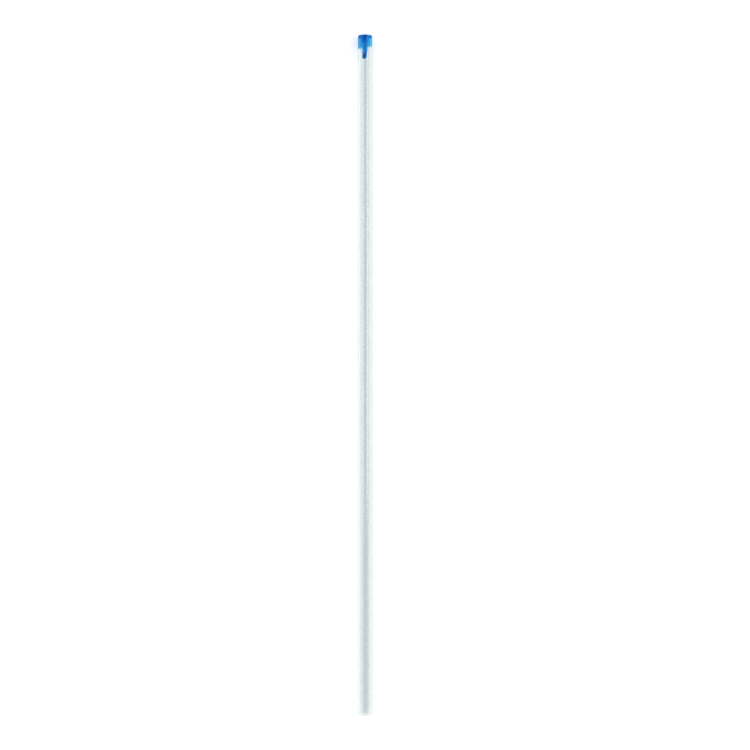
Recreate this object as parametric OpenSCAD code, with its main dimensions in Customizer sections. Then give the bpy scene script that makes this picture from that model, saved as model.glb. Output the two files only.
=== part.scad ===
// A micro-haematocrit capillary: one length of drawn glass tube, open right through, with
// fire-polished ends and a blue mark dipped on one of them.
// It lies along X, as it comes to rest on a table, with the marked end at +X. The origin is
// on the table under the middle of its length.

/* [Glass tube] */
// Length of the glass, end to end
tube_length = 75; // [20:0.5:150]
// Diameter of the bore
bore_d = 1.15; // [0.7:0.05:3]
// Thickness of the glass wall
wall_t = 0.2; // [0.1:0.01:0.6]
// Radius that fire polishing leaves on both edges of an end
polish_r = 0.08; // [0.02:0.01:0.2]

/* [Blue mark] */
// How far the mark reaches down the outside, from the end
mark_length = 1.3; // [0.5:0.1:6]
// How far the mark reaches into the bore
mark_inside = 0.35; // [0.1:0.05:2]
// Thickness of the dried film
film_t = 0.015; // [0.005:0.005:0.05]

/* [Runs below the mark] */
// How far each run reaches below the mark, one for each neighbour in the bundle that drew
// the wet film along
run_lengths = [1.35, 0.1, 0.25, 0.5, 0.2, 0.15]; // [0.05:0.05:3]
// Width of a run at its root in the mark
run_root_w = 0.8; // [0.55:0.05:1.2]
// Width of a run at its tip
run_tip_w = 0.5; // [0.1:0.05:0.5]
// How far up in the mark a run is at its full root width
root_depth = 0.3; // [0.3:0.05:0.45]
// Angle of the first run round the tube, from the top
first_run = 0; // [-30:1:30]

/* [Hidden] */
$fn = 96;
bore_r = bore_d / 2;
tube_r = bore_r + wall_t;
film_r = tube_r + film_t;
mid_wall_r = bore_r + wall_t / 2;
// two rounded edges share each end of the wall, so a thin wall limits them
edge_r = min(polish_r, 0.45 * wall_t);
axis_height = film_r;
mark_edge = tube_length - mark_length;
// cutting solids reach this far past what they cut
beyond = 1;

// Wall of the tube cut on one side of the axis, with the axis up Y and its lower end at
// y = 0. grow pushes the outline out evenly, so that a film over it is equally thick.
module wall_section(grow = 0) {
    r = edge_r + grow;
    inner = bore_r - grow;
    outer = tube_r + grow;
    bottom = -grow;
    top = tube_length + grow;
    translate([inner + r, bottom]) square([outer - inner - 2 * r, top - bottom]);
    translate([inner, bottom + r]) square([outer - inner, top - bottom - 2 * r]);
    for (x = [inner + r, outer - r], y = [bottom + r, top - r]) translate([x, y]) circle(r);
}

// Brings a tube that stands up Z to its place along X, with its +X side turned to the top.
module lay_down() {
    translate([-tube_length / 2, 0, axis_height]) rotate([180, -90, 0]) children();
}

module glass_tube() {
    color("azure", 0.4) lay_down() rotate_extrude() wall_section();
}

// The part of the half plane that the dip reached, outside the wall and in the bore.
module dipped_region() {
    reach = mark_length + film_t + beyond;
    translate([mid_wall_r, mark_edge]) square([film_r + beyond, reach]);
    translate([0, tube_length - mark_inside]) square([mid_wall_r, reach]);
}

module dipped_band() {
    rotate_extrude() difference() {
        intersection() {
            wall_section(film_t);
            dipped_region();
        }
        wall_section();
    }
}

// Flat outline of one run, hanging down from the mark's edge at y = 0. Each side is one arc,
// upright where it meets the round tip and flaring out to the root, which lies in the mark.
module run_outline(run_length) {
    tip_r = run_tip_w / 2;
    spread = run_root_w / 2 - tip_r;
    side_h = run_length - tip_r + root_depth;
    side_r = (side_h * side_h + spread * spread) / (2 * spread);
    translate([0, tip_r - run_length]) {
        circle(tip_r);
        difference() {
            translate([-run_root_w / 2, 0]) square([run_root_w, side_h]);
            for (side = [-1, 1]) translate([side * (tip_r + side_r), 0]) circle(side_r);
        }
    }
}

// Film all round the outside of the glass, over the stretch that holds every run.
module outer_film() {
    zone = max(run_lengths) + beyond;
    translate([0, 0, mark_edge - zone]) difference() {
        cylinder(r = film_r, h = zone + mark_length / 2);
        translate([0, 0, -beyond]) cylinder(r = tube_r, h = zone + mark_length + 2 * beyond);
    }
}

// One run: the part of that film under its outline, at an angle round the tube.
module run(angle, run_length) {
    intersection() {
        outer_film();
        rotate([0, 0, angle]) translate([0, 0, mark_edge])
            rotate([90, 0, 90]) linear_extrude(film_r + beyond) run_outline(run_length);
    }
}

module tip_mark() {
    step = 360 / len(run_lengths);
    color("royalblue") lay_down() union() {
        dipped_band();
        for (i = [0 : len(run_lengths) - 1]) run(first_run + i * step, run_lengths[i]);
    }
}

glass_tube();
tip_mark();
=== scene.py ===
import math

import bpy
import numpy as np
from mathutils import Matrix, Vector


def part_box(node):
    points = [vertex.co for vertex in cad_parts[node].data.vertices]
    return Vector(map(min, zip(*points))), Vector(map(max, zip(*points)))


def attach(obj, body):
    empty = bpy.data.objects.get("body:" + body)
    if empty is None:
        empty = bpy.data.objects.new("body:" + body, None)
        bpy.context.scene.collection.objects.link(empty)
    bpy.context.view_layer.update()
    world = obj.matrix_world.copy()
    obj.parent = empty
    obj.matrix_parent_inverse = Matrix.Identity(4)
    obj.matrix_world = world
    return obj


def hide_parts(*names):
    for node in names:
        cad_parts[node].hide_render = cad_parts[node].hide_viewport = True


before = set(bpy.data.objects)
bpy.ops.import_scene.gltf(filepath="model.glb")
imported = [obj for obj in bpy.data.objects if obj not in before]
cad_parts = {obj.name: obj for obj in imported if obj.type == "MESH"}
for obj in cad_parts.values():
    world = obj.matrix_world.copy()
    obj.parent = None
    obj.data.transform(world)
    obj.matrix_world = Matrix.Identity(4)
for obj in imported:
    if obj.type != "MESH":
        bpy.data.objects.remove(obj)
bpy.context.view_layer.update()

# A glass capillary tube lies on a pale floor, with the blue mark dipped on one end.
# Lengths are in metres. Seen from the camera, +X points up the frame and -Y to its right.

tubeLow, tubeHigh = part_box("glass_tube")
markLow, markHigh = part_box("tip_mark")

mm = 0.001
micron = 0.000001

# What the frame gives: the glass, and the axis that everything is turned about
tubeLength = tubeHigh.x - tubeLow.x
tubeRadius = (tubeHigh.y - tubeLow.y) / 2
filmRadius = (markHigh.y - markLow.y) / 2
axisHeight = (tubeHigh.z + tubeLow.z) / 2

scene = bpy.context.scene
scene.view_settings.view_transform = "Standard"


# Shader maths

# Wraps a node's output, so that arithmetic on it adds Math nodes
class Wire:
    def __init__(self, tree, socket=None):
        self.tree = tree
        self.socket = socket

    # Adds a node: its settings first, then a value or a link for each input
    def node(self, kind, settings=None, inputs=None, output=0):
        made = self.tree.nodes.new(kind)
        for name, value in (settings or {}).items():
            if name == "stops":
                fillRamp(made.color_ramp, value)
            else:
                setattr(made, name, value)
        for name, value in (inputs or {}).items():
            if isinstance(value, Wire):
                self.tree.links.new(value.socket, made.inputs[name])
            else:
                made.inputs[name].default_value = value
        return Wire(self.tree, made.outputs[output] if made.outputs else None)

    def math(self, operation, *values):
        return self.node("ShaderNodeMath", {"operation": operation}, dict(enumerate(values)))

    # A colour between two others, by this value
    def between(self, low, high):
        colours = {"Factor": self, 6: low, 7: high}
        return self.node("ShaderNodeMix", {"data_type": "RGBA"}, colours, output=2)

    def clamp(self):
        return self.node("ShaderNodeClamp", None, {"Value": self})

    def __add__(self, other):
        return self.math("ADD", self, other)

    def __rsub__(self, other):
        return self.math("SUBTRACT", other, self)

    def __mul__(self, other):
        return self.math("MULTIPLY", self, other)

    def __pow__(self, other):
        return self.math("POWER", self, other)

    def __gt__(self, other):
        return self.math("GREATER_THAN", self, other)

    __radd__ = __add__
    __rmul__ = __mul__


# stops: (place, colour) in order
def fillRamp(ramp, stops):
    while len(ramp.elements) < len(stops):
        ramp.elements.new(1)
    for element, (place, colour) in zip(ramp.elements, stops):
        element.position = place
        element.color = (*colour, 1)


# A material with an empty tree, and its Wire to build from
def newMaterial(name):
    material = bpy.data.materials.new(name)
    material.use_nodes = True
    material.node_tree.nodes.clear()
    return material, Wire(material.node_tree)


def paint(piece, material):
    piece.data.materials.append(material)


# Meshes

# points[row, column] is a surface that closes on itself both ways, like a ring's.
# A face is (row, column), (row, column + 1), (row + 1, column + 1), (row + 1, column).
def ringSurface(name, points, sharpAngle=60):
    rows, columns = points.shape[:2]
    row, column = np.meshgrid(np.arange(rows), np.arange(columns), indexing="ij")
    nextRow = (row + 1) % rows
    nextColumn = (column + 1) % columns
    corners = [(row, column), (row, nextColumn), (nextRow, nextColumn), (nextRow, column)]
    quads = np.stack([down * columns + along for down, along in corners], axis=-1).reshape(-1, 4)

    mesh = bpy.data.meshes.new(name)
    mesh.vertices.add(rows * columns)
    mesh.vertices.foreach_set("co", points.astype(np.float32).ravel())
    mesh.loops.add(quads.size)
    mesh.loops.foreach_set("vertex_index", quads.astype(np.int32).ravel())
    mesh.polygons.add(len(quads))
    mesh.polygons.foreach_set("loop_start", np.arange(0, quads.size, 4, dtype=np.int32))
    mesh.update(calc_edges=True)
    mesh.polygons.foreach_set("use_smooth", np.ones(len(quads), dtype=bool))
    mesh.set_sharp_from_angle(angle=math.radians(sharpAngle))
    piece = bpy.data.objects.new(name, mesh)
    scene.collection.objects.link(piece)
    return piece


# A value at each vertex, for a material to read
def giveValues(piece, name, values):
    layer = piece.data.attributes.new(name, "FLOAT", "POINT")
    layer.data.foreach_set("value", values.astype(np.float32).ravel())


# A point at x and radius r, by its angle from the top:
# (x, -r sin(angle), axis height + r cos(angle))
def aboutAxis(x, radius, angle):
    x, radius, angle = np.broadcast_arrays(x, radius, angle)
    return np.stack([x, -radius * np.sin(angle), axisHeight + radius * np.cos(angle)], axis=-1)


# Angles that share a full turn evenly
def fullTurn(sectors):
    return np.arange(sectors) * (2 * np.pi / sectors)


# The glass tube

tubeSpec = {
    "wall": 0.2 * mm,
    "polish": 0.08 * mm,       # radius that the flame leaves on both edges of an end
    "mouthDraw": 6 * micron,   # how far the flame draws the bore in at a mouth
    "mouthReach": 0.4 * mm,    # how deep that is felt
    "drawWave": 1.2 * micron,  # how much thinner the draw is at its thinnest places
    "waveLength": 13 * mm,     # twice the distance between them
    "ovality": 1.5 * micron,   # how far the section is out of round
    "sectors": 160,
    "wallSteps": 96,
    "arcSteps": 10,
    # the glass itself
    "paleTint": (0.91, 0.94, 0.94, 1),
    "deepTint": (0.85, 0.89, 0.895, 1),
    "lineScale": (25, 5000, 5000),  # noise cells per metre, along the tube and across it
    "lineDetail": 3,
    "lineStrength": 0.15,
    "lineDepth": 0.5 * micron,
    "hazeScale": 400,
    "hazeDetail": 4,
    "roughness": (0.0, 0.04),       # in the clearest and the haziest places
    "ior": 1.5,
    "shadowTint": (0.95, 0.965, 0.965, 1),  # what each surface lets through to the floor
    "trapped": 2,  # reflections after which light that runs along inside the wall is let out,
    "trappedTint": (0.62, 0.72, 0.70, 1),   # and what each surface then lets through
}


# A quarter circle: centre + radius (cos, sin) of an angle that goes from start down to
# start - 90 degrees
def polishArc(centreX, centreR, radius, startAngle, steps):
    angle = np.radians(startAngle) - np.linspace(0, np.pi / 2, steps)
    return centreX + radius * np.cos(angle), centreR + radius * np.sin(angle)


# The wall's section, turned about the axis. Its radius is
# r - |wave sin(2 pi x / wave length)| - |oval cos(2 angle)|, so it stays within the true one,
# and the bore is drawn in by draw exp(-(distance from the mouth / reach)^2). The steps along
# the wall follow a sine, so that they crowd towards the ends.
def makeGlassTube():
    spec = tubeSpec
    polish, steps = spec["polish"], spec["arcSteps"]
    boreRadius = tubeRadius - spec["wall"]
    leftX, rightX = tubeLow.x + polish, tubeHigh.x - polish
    outerR, innerR = tubeRadius - polish, boreRadius + polish
    along = (1 + np.sin(np.linspace(-np.pi / 2, np.pi / 2, spec["wallSteps"]))) / 2
    wallX = leftX + (rightX - leftX) * along[1:-1]
    sections = [
        (wallX, np.full_like(wallX, tubeRadius)),
        polishArc(rightX, outerR, polish, 90, steps),
        polishArc(rightX, innerR, polish, 0, steps),
        (wallX[::-1], np.full_like(wallX, boreRadius)),
        polishArc(leftX, innerR, polish, -90, steps),
        polishArc(leftX, outerR, polish, 180, steps),
    ]
    x = np.concatenate([part[0] for part in sections])[:, None]
    radius = np.concatenate([part[1] for part in sections])[:, None]
    angle = fullTurn(spec["sectors"])[None, :]

    fromMouth = np.minimum(x - tubeLow.x, tubeHigh.x - x)
    # 1 on the bore, falling to 0 over the rim
    onBore = np.clip((outerR - radius) / (outerR - boreRadius), 0, 1)
    drawnIn = spec["mouthDraw"] * np.exp(-(fromMouth / spec["mouthReach"]) ** 2) * onBore
    wave = spec["drawWave"] * abs(np.sin(2 * np.pi * x / spec["waveLength"]))
    oval = spec["ovality"] * abs(np.cos(2 * angle))
    return ringSurface("capillaryGlass", aboutAxis(x, radius - drawnIn - wave - oval, angle))


# Clear glass with a pale cool tint. Faint lines run along the draw: noise stretched along X,
# in cells 1 / scale long each way, mixes the two tints and is the height of the bump.
# Roughness is clearest + (haziest - clearest) haze^3, where haze is a coarser, even noise.
def glassMaterial():
    spec = tubeSpec
    material, tree = newMaterial("clearDrawnGlass")
    place = tree.node("ShaderNodeTexCoord", output="Object")
    stretched = tree.node(
        "ShaderNodeVectorMath", {"operation": "MULTIPLY"}, {0: place, 1: spec["lineScale"]})
    lines = tree.node(
        "ShaderNodeTexNoise", None, {"Vector": stretched, "Scale": 1, "Detail": spec["lineDetail"]})
    haze = tree.node(
        "ShaderNodeTexNoise", None,
        {"Vector": place, "Scale": spec["hazeScale"], "Detail": spec["hazeDetail"]})
    clearest, haziest = spec["roughness"]
    ripple = tree.node("ShaderNodeBump", None, {
        "Strength": spec["lineStrength"], "Distance": spec["lineDepth"], "Height": lines})
    glass = tree.node("ShaderNodeBsdfPrincipled", None, {
        "Base Color": lines.between(spec["deepTint"], spec["paleTint"]),
        "Roughness": clearest + (haziest - clearest) * haze ** 3,
        "IOR": spec["ior"],
        "Transmission Weight": 1,
        "Normal": ripple,
    })
    trapped = tree.node("ShaderNodeBsdfTransparent", None, {"Color": spec["trappedTint"]})
    reflections = tree.node("ShaderNodeLightPath", output="Glossy Depth")
    letOut = reflections > spec["trapped"]
    seen = tree.node("ShaderNodeMixShader", None, {0: letOut, 1: glass, 2: trapped})
    clear = tree.node("ShaderNodeBsdfTransparent", None, {"Color": spec["shadowTint"]})
    shadowRay = tree.node("ShaderNodeLightPath", output="Is Shadow Ray")
    surface = tree.node("ShaderNodeMixShader", None, {0: shadowRay, 1: seen, 2: clear})
    tree.node("ShaderNodeOutputMaterial", None, {"Surface": surface})
    return material


glassTube = makeGlassTube()
paint(glassTube, glassMaterial())
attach(glassTube, "root")
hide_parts("glass_tube")
print("glass tube:", len(glassTube.data.polygons), "faces")


# The blue mark

markSpec = {
    "bandLength": 1.3 * mm,    # of the even band, from the end
    "insideReach": 0.35 * mm,  # down the bore
    "firstRun": 0,             # degrees round from the top
    "runLengths": [1.35, 0.1, 0.25, 0.5, 0.2, 0.15],  # mm below the band, equally spaced round it
    "rootWidth": 0.7 * mm,
    "tipWidth": 0.5 * mm,
    "lean": 0.05,              # sideways for each unit down, of every run
    "lowSide": (-55, 0.15 * mm),  # degrees from the top, and how much further the band reaches there
    # unevenness of the band's own edge: waves round it, phase and height
    "edgeWaves": [(2, 0.7, 15 * micron), (5, 2.1, 9 * micron)],
    "fillet": 0.05 * mm,       # how softly a run flows out of the band
    "embed": 2 * micron,       # how far the film's underside sits in the glass
    "beadWidth": 0.05 * mm,    # over which the film thins out to its edge
    "thinShare": 0.1,          # film of the band where nothing pools, with a run's drop as 1
    "rimPool": (0.09, 0.3 * mm),     # thicker by this at the rim, and how far down that fades
    "streakPool": (0.73, 0.36 * mm),  # thicker by this above the longest run, and half its width
    "drop": (0.38 * mm, 0.46 * mm),  # how far above its tip a run is thickest, and how far that fades
    "litSideThinning": (90, 0.96),    # degrees from the top, and how much thinner the band is made there: painted light, so the side towards the lamps renders lighter
    "sectors": 512,
    "edgeSamples": 1024,
    "bandSteps": 44,
    "crowding": 1.4,           # of the band's steps towards its edge, with 1 as none
    "arcSteps": 10,
    "insideSteps": 14,
    # the ink itself, with its pigment's colour by the film's thickness
    "pigment": [(0, (0.0, 0.32, 1.0)), (0.7, (0.0, 0.11, 0.53)), (0.88, (0.0, 0.08, 0.20))],
    "thinTint": (0.38, 0.92, 1.0, 1),
    "thickTint": (0.0, 0.14, 1.0, 1),
    "cover": (0.13, 0.93),     # share of the pigment where the film is thin and thick
    "mottleScale": 3500,       # noise cells per metre
    "mottleDetail": 4,
    "mottleShare": 0.3,        # how much it moves the thickness
    "grainScale": 22000,
    "grainDetail": 2,
    "grainStrength": 0.25,
    "grainDepth": 2 * micron,
    "roughness": (0.08, 0.22),
    "ior": 1.5,
    "specular": 0.2,
}


# The runs' lengths, and how far each angle is from the middle of each run, round the glass
def besideRuns(angle):
    lengths = np.array(markSpec["runLengths"])[:, None] * mm
    middles = np.arange(len(lengths))[:, None] * (2 * np.pi / len(lengths))
    away = angle[None, :] - middles - math.radians(markSpec["firstRun"])
    turned = (away + np.pi) % (2 * np.pi) - np.pi
    return lengths, abs(turned) * tubeRadius


# How far the ink reaches below the band's edge, by the distance s round the tube from each
# run's middle: length - r + sqrt(r^2 - s^2) over its round tip of radius r, and
# (length - r) (1 - sqrt(q)) over its flanks, where q goes from 0 to 1 to the root. The deepest
# of the runs, d, then flows out of the band as (d + sqrt(d^2 + fillet^2) - fillet) / 2.
def runDepth(angle):
    spec = markSpec
    tipHalf, rootHalf = spec["tipWidth"] / 2, spec["rootWidth"] / 2
    lengths, aside = besideRuns(angle)
    tip = np.sqrt(np.clip(tipHalf ** 2 - aside ** 2, 0, None)) + lengths - tipHalf
    flank = np.clip((aside - tipHalf) / (rootHalf - tipHalf), 0, 1)
    runs = np.where(aside < tipHalf, tip, (lengths - tipHalf) * (1 - np.sqrt(flank)))
    deepest = runs.max(axis=0)
    return (deepest + np.sqrt(deepest ** 2 + spec["fillet"] ** 2) - spec["fillet"]) / 2


# How far the ink reaches from the end:
# band + run + sum of height sin(count angle + phase) + further cos(angle - low side)
def edgeDepth(angle):
    waves = sum(
        height * np.sin(count * angle + phase) for count, phase, height in markSpec["edgeWaves"])
    lowAngle, further = markSpec["lowSide"]
    dip = further * np.cos(angle - math.radians(lowAngle))
    return markSpec["bandLength"] + runDepth(angle) + waves + dip


# Distance over the glass from each point to the nearest point of the ink's lower edge, with
# both laid flat: sqrt(across^2 + down^2)
def distanceToEdge(around, depth):
    angle = fullTurn(markSpec["edgeSamples"])
    edgeAround, edgeDown = angle * tubeRadius, edgeDepth(angle)
    girth = 2 * np.pi * tubeRadius
    across = (around[..., None] - edgeAround + girth / 2) % girth - girth / 2
    down = depth[..., None] - edgeDown
    return np.sqrt(across ** 2 + down ** 2).min(axis=-1)


# The film's share of its full thickness: (thin + rim + streak) lit side + (1 - thin) drop, where
# rim = pool exp(-(e / fade)^2), with e the distance from the end,
# streak = pool exp(-(s / width)^2) (run's length / longest) (1 - (e / band)^4), with s the
# distance from a run's middle,
# lit side = 1 - thinner (1 + cos(angle - lit side angle)) / 2 (e / band), which is painted light
# that thins the band, and so lightens it, on the side towards the lamps, and
# drop = (ink below the band / longest) exp(-((height above the ink's edge - place) / length)^2)
def pooledInkAndLitSide(fromEnd, angle, lowest):
    spec = markSpec
    lengths, aside = besideRuns(angle)
    longest = lengths.max()
    downBand = np.clip(fromEnd / spec["bandLength"], 0, 1)

    rimPool, rimFade = spec["rimPool"]
    rim = rimPool * np.exp(-(fromEnd / rimFade) ** 2)
    streakPool, streakWidth = spec["streakPool"]
    streaks = (lengths / longest * np.exp(-(aside / streakWidth) ** 2)).max(axis=0)
    streak = streakPool * streaks * (1 - downBand ** 4)
    # painted light: the film is made thinner on the side towards the lamps, so that side's colour
    # renders lighter
    litSideAngle, thinner = spec["litSideThinning"]
    towardsLamps = (1 + np.cos(angle - math.radians(litSideAngle))) / 2
    paintedLightShare = 1 - thinner * towardsLamps * downBand

    dropPlace, dropLength = spec["drop"]
    above = np.clip(lowest - fromEnd, 0, None)
    drop = runDepth(angle) / longest * np.exp(-((above - dropPlace) / dropLength) ** 2)
    thin = spec["thinShare"]
    return np.clip((thin + rim + streak) * paintedLightShare + (1 - thin) * drop, 0, 1)


# Rows of the ink's skin: x, radius, the way out along x and r, and the distance to the edge
def skinRows(x, *others):
    shape = (len(x), markSpec["sectors"])
    return np.stack([np.broadcast_to(part, shape) for part in (x, *others)])


# A skin that follows the glass from the ink's lower edge, over the rim and into the bore,
# lifted by the film's thickness, and closed by a second skin just inside the glass.
# Thickness = film (1 - exp(-2 d / bead)) pooled share, where d is the distance to the edge. The
# pooled share also holds the painted light that thins the band on the side towards the lamps.
def makeInkMark():
    spec = markSpec
    polish, steps = tubeSpec["polish"], spec["arcSteps"]
    boreRadius = tubeRadius - tubeSpec["wall"]
    film = filmRadius - tubeRadius
    angle = fullTurn(spec["sectors"])
    lowest = edgeDepth(angle)

    share = (np.linspace(0, 1, spec["bandSteps"]) ** spec["crowding"])[:, None]
    depth = lowest + (polish - lowest) * share
    bandGap = distanceToEdge(angle * tubeRadius, depth)
    bandGap[0] = 0  # the edge itself
    band = skinRows(tubeHigh.x - depth, tubeRadius, 0, 1, bandGap)

    rimX = tubeHigh.x - polish
    farOff = 4 * spec["beadWidth"]  # where the bead at the edge is no longer felt
    rim = []
    for rimR, startAngle in ((tubeRadius - polish, 90), (boreRadius + polish, 0)):
        x, radius = (line[:, None] for line in polishArc(rimX, rimR, polish, startAngle, steps))
        rim.append(skinRows(x, radius, (x - rimX) / polish, (radius - rimR) / polish, farOff))

    insideX = np.linspace(rimX, tubeHigh.x - spec["insideReach"], spec["insideSteps"])[:, None]
    inside = skinRows(insideX, boreRadius, 0, -1, insideX - insideX[-1])

    # a row that two strips share is taken once
    strips = [band, rim[0][:, 1:], rim[1], inside[:, 1:]]
    x, radius, outX, outR, gap = np.concatenate(strips, axis=1)

    fromEnd = tubeHigh.x - x
    thickness = film * (1 - np.exp(-2 * gap / spec["beadWidth"])) * pooledInkAndLitSide(fromEnd, angle, lowest)
    turned = angle - spec["lean"] * np.clip(fromEnd - spec["bandLength"], 0, None) / tubeRadius
    upper = aboutAxis(x + thickness * outX, radius + thickness * outR, turned)
    under = aboutAxis(x - spec["embed"] * outX, radius - spec["embed"] * outR, turned)
    piece = ringSurface("inkMark", np.concatenate([upper, under[::-1]]), sharpAngle=80)

    onTop = np.ones_like(x)
    giveValues(piece, "inkDepth", np.concatenate([thickness, thickness[::-1]]) / film)
    giveValues(piece, "outside", np.concatenate([onTop, 0 * onTop]))
    return piece


# Dried ink, glossy and a little clear: a thin film mostly tints the light that passes through,
# and a thick one is mostly pigment, which covers. With d as
# thickness (1 - mottle share / 2 + mottle share mottle), the cover is
# thin cover + (thick cover - thin cover) d, the tint goes from thin to thick by d, and the
# pigment's colour is read from the stops by d. Roughness is
# smoothest + (roughest - smoothest) mottle, and a fine grain is the height of the bump. The
# underside shows nothing.
def inkMaterial():
    spec = markSpec
    material, tree = newMaterial("driedBlueInk")
    place = tree.node("ShaderNodeTexCoord", output="Object")
    # inkDepth includes the painted light that thins the band on the lamps' side, which lightens its
    # colour there
    thickness = tree.node("ShaderNodeAttribute", {"attribute_name": "inkDepth"}, output="Fac")
    outside = tree.node("ShaderNodeAttribute", {"attribute_name": "outside"}, output="Fac")
    mottle = tree.node(
        "ShaderNodeTexNoise", None,
        {"Vector": place, "Scale": spec["mottleScale"], "Detail": spec["mottleDetail"]})
    grain = tree.node(
        "ShaderNodeTexNoise", None,
        {"Vector": place, "Scale": spec["grainScale"], "Detail": spec["grainDetail"]})
    depth = (thickness * (1 - spec["mottleShare"] / 2 + spec["mottleShare"] * mottle)).clamp()
    smoothest, roughest = spec["roughness"]
    thinCover, thickCover = spec["cover"]
    bump = tree.node("ShaderNodeBump", None, {
        "Strength": spec["grainStrength"], "Distance": spec["grainDepth"], "Height": grain})
    pigment = tree.node("ShaderNodeBsdfPrincipled", None, {
        "Base Color": tree.node("ShaderNodeValToRGB", {"stops": spec["pigment"]}, {"Fac": depth}),
        "Roughness": smoothest + (roughest - smoothest) * mottle,
        "IOR": spec["ior"],
        "Specular IOR Level": spec["specular"],
        "Normal": bump,
    })
    thin, thick, clear = (
        tree.node("ShaderNodeBsdfTransparent", None, {"Color": colour})
        for colour in (spec["thinTint"], spec["thickTint"], (1, 1, 1, 1))
    )
    tinted = tree.node("ShaderNodeMixShader", None, {0: depth, 1: thin, 2: thick})
    cover = thinCover + (thickCover - thinCover) * depth
    film = tree.node("ShaderNodeMixShader", None, {0: cover, 1: tinted, 2: pigment})
    surface = tree.node("ShaderNodeMixShader", None, {0: outside, 1: clear, 2: film})
    tree.node("ShaderNodeOutputMaterial", None, {"Surface": surface})
    return material


inkMark = makeInkMark()
paint(inkMark, inkMaterial())
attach(inkMark, "root")
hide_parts("tip_mark")
print("ink mark:", len(inkMark.data.polygons), "faces")


# The floor

floorSpec = {
    "size": 8,
    "colour": (0.82, 0.82, 0.82, 1),
    "lift": 0.31,  # light of its own that only the camera, mirrors and glass see
}


# One flat square under the part
def makeFloor():
    half = floorSpec["size"] / 2
    corners = [(-half, -half, 0), (half, -half, 0), (half, half, 0), (-half, half, 0)]
    mesh = bpy.data.meshes.new("floor")
    mesh.from_pydata(corners, [], [(0, 1, 2, 3)])
    floor = bpy.data.objects.new("floor", mesh)
    scene.collection.objects.link(floor)
    return floor


# 1 for rays that come straight from the camera, off a mirror or through glass, and 0 for others
def seenDirectly(tree):
    rays = [
        tree.node("ShaderNodeLightPath", output=name)
        for name in ("Is Camera Ray", "Is Glossy Ray", "Is Transmission Ray")
    ]
    return (rays[0] + rays[1] + rays[2]).clamp()


def floorMaterial():
    material, tree = newMaterial("paleFloor")
    matt = tree.node("ShaderNodeBsdfDiffuse", None, {"Color": floorSpec["colour"]})
    glow = tree.node("ShaderNodeEmission", None, {"Strength": seenDirectly(tree) * floorSpec["lift"]})
    surface = tree.node("ShaderNodeAddShader", None, {0: matt, 1: glow})
    tree.node("ShaderNodeOutputMaterial", None, {"Surface": surface})
    return material


floor = makeFloor()
paint(floor, floorMaterial())
print("floor laid")


# Light

lightSpec = {
    "ambient": 0.85,     # the world's strength on matt surfaces
    "overhead": 0.25,    # what mirrors and glass see of the world straight up
    "skyline": 1.0,      # and near the horizon
    # name: (place, power in watts, width, height)
    "lamps": {
        "keyLamp": ((0.05, -0.30, 0.36), 0.3, 0.2, 0.2),
        "stripLamp": ((0, -0.36, 0.16), 0.1, 0.4, 0.05),
    },
}


# White as the camera sees it, and softer light for everything matt. Mirrors and glass see it
# fall off towards the zenith: skyline + (overhead - skyline) height^2.
def makeWorld():
    world = bpy.data.worlds.new("studio")
    scene.world = world
    world.use_nodes = True
    world.node_tree.nodes.clear()
    tree = Wire(world.node_tree)
    direction = tree.node("ShaderNodeTexCoord", output="Generated")
    height = tree.node("ShaderNodeSeparateXYZ", None, {"Vector": direction}, output="Z")
    skyline, overhead, ambient = (lightSpec[name] for name in ("skyline", "overhead", "ambient"))
    dome = skyline + (overhead - skyline) * height * height
    camera = tree.node("ShaderNodeLightPath", output="Is Camera Ray")
    shown = camera + (1 - camera) * dome
    seen = seenDirectly(tree)
    strength = seen * shown + (1 - seen) * ambient
    background = tree.node("ShaderNodeBackground", None, {"Color": (1, 1, 1, 1), "Strength": strength})
    tree.node("ShaderNodeOutputWorld", None, {"Surface": background})


def makeLamps():
    for name, (place, power, width, height) in lightSpec["lamps"].items():
        lamp = bpy.data.lights.new(name, "AREA")
        lamp.shape = "RECTANGLE"
        lamp.size, lamp.size_y = width, height
        lamp.energy = power
        stand = bpy.data.objects.new(name, lamp)
        stand.location = place
        stand.rotation_euler = (-stand.location).to_track_quat("-Z", "Y").to_euler()
        stand.visible_camera = False
        scene.collection.objects.link(stand)


makeWorld()
makeLamps()
print("lights up")


# Camera

cameraSpec = {
    "frameSide": 750,          # pixels
    "markedEnd": (365, 34.4),  # pixels from the frame's top left corner
    "fieldOfView": 23,         # degrees
    "clip": (0.01, 20),        # nearest and farthest that it sees
}


# Straight down, level with the middle of the tube's length and a little aside of it, so that
# the marked end falls on its pixel, towards the top of the frame
def makeCamera():
    spec = cameraSpec
    half = spec["frameSide"] / 2
    perPixel = (tubeLength / 2) / (half - spec["markedEnd"][1])
    data = bpy.data.cameras.new("camera")
    data.sensor_fit = "AUTO"
    data.angle = math.radians(spec["fieldOfView"])
    data.clip_start, data.clip_end = spec["clip"]
    camera = bpy.data.objects.new("camera", data)
    distance = half * perPixel / math.tan(data.angle / 2)
    camera.location = (0, -(half - spec["markedEnd"][0]) * perPixel, tubeHigh.z + distance)
    camera.rotation_euler = (0, 0, -math.pi / 2)
    scene.collection.objects.link(camera)
    scene.camera = camera


makeCamera()
print("camera placed")
